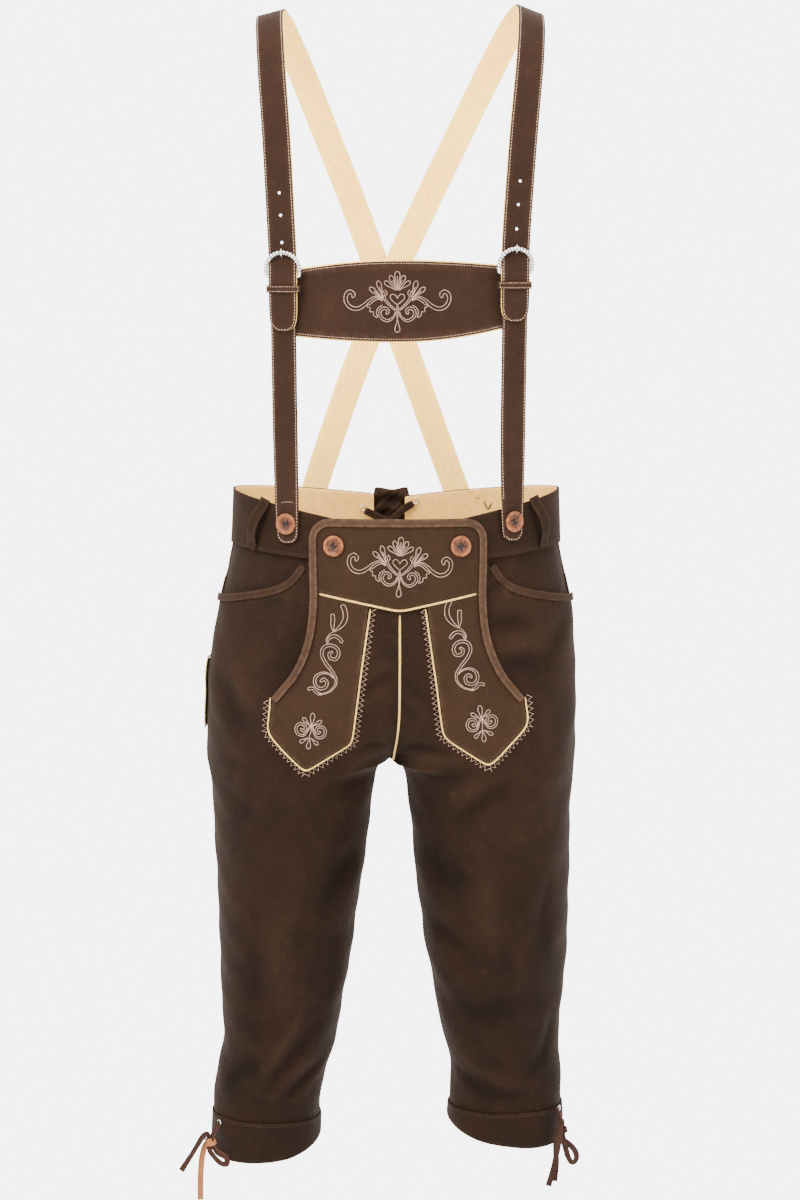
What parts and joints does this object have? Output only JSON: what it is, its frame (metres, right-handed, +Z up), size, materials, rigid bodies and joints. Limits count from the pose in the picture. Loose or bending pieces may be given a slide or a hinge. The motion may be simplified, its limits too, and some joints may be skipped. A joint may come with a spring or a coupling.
{
  "type": "lederhosen",
  "caption": "Knee-length suede breeches with a buttoned drop flap, embroidered tabs, laced leg hems and braces with buckles and a chest bar.",
  "frame": {"origin": "midway between the shoulders where the braces rest, at their inner faces' height", "axes": "+Z up, -Y the front, -X the wearer's right"},
  "size_m": [0.4418, 0.2639, 1.3081],
  "materials": {
    "suede": "brushed dark brown suede, napped and mottled",
    "suede_trim": "dark brown suede of flap, tabs and straps",
    "lining": "pale smooth lining leather",
    "piping": "cream piping",
    "horn": null,
    "metal": "bright ribbed plated metal",
    "lace": "dark suede lacing, tan on the flesh side"
  },
  "bodies": {
    "root": {"back_button_L": "horn", "back_button_R": "horn", "back_eyelet_L": "metal", "back_eyelet_R": "metal", "back_gusset": "suede", "back_lace_L": "lace", "back_lace_R": "lace", "back_leg_L": "suede", "back_leg_R": "suede", "belt_loop_L": "suede", "belt_loop_R": "suede", "brace_L": "suede_trim", "brace_R": "suede_trim", "brace_lining_L": "lining", "brace_lining_R": "lining", "buckle_L": "metal", "buckle_R": "metal", "centre_piping": "piping", "chest_bar": "suede_trim", "chest_bar_lining": "lining", "cuff_L": "suede", "cuff_R": "suede", "drop_flap": "suede_trim", "flap_binding": "suede_trim", "flap_button_L": "horn", "flap_button_R": "horn", "flap_piping": "piping", "front_leg_L": "suede", "front_leg_R": "suede", "hem_eyelet_L": "metal", "hem_eyelet_R": "metal", "hem_lace_L": "lace", "hem_lace_R": "lace", "hem_lace_tail_L": "lace", "hem_lace_tail_R": "lace", "keeper_L": "suede_trim", "keeper_R": "suede_trim", "knife_pocket": "suede", "knife_pocket_piping": "piping", "lower_strap_L": "suede_trim", "lower_strap_R": "suede_trim", "pocket_binding_L": "suede_trim", "pocket_binding_R": "suede_trim", "pocket_facing_L": "suede", "pocket_facing_R": "suede", "prong_L": "metal", "prong_R": "metal", "strap_button_L": "horn", "strap_button_R": "horn", "tab_L": "suede_trim", "tab_R": "suede_trim", "tab_piping_L": "piping", "tab_piping_R": "piping", "waist_lining_L": "lining", "waist_lining_R": "lining", "waistband_back_L": "suede", "waistband_back_R": "suede", "waistband_front_L": "suede", "waistband_front_R": "suede"}
  },
  "joints": []
}
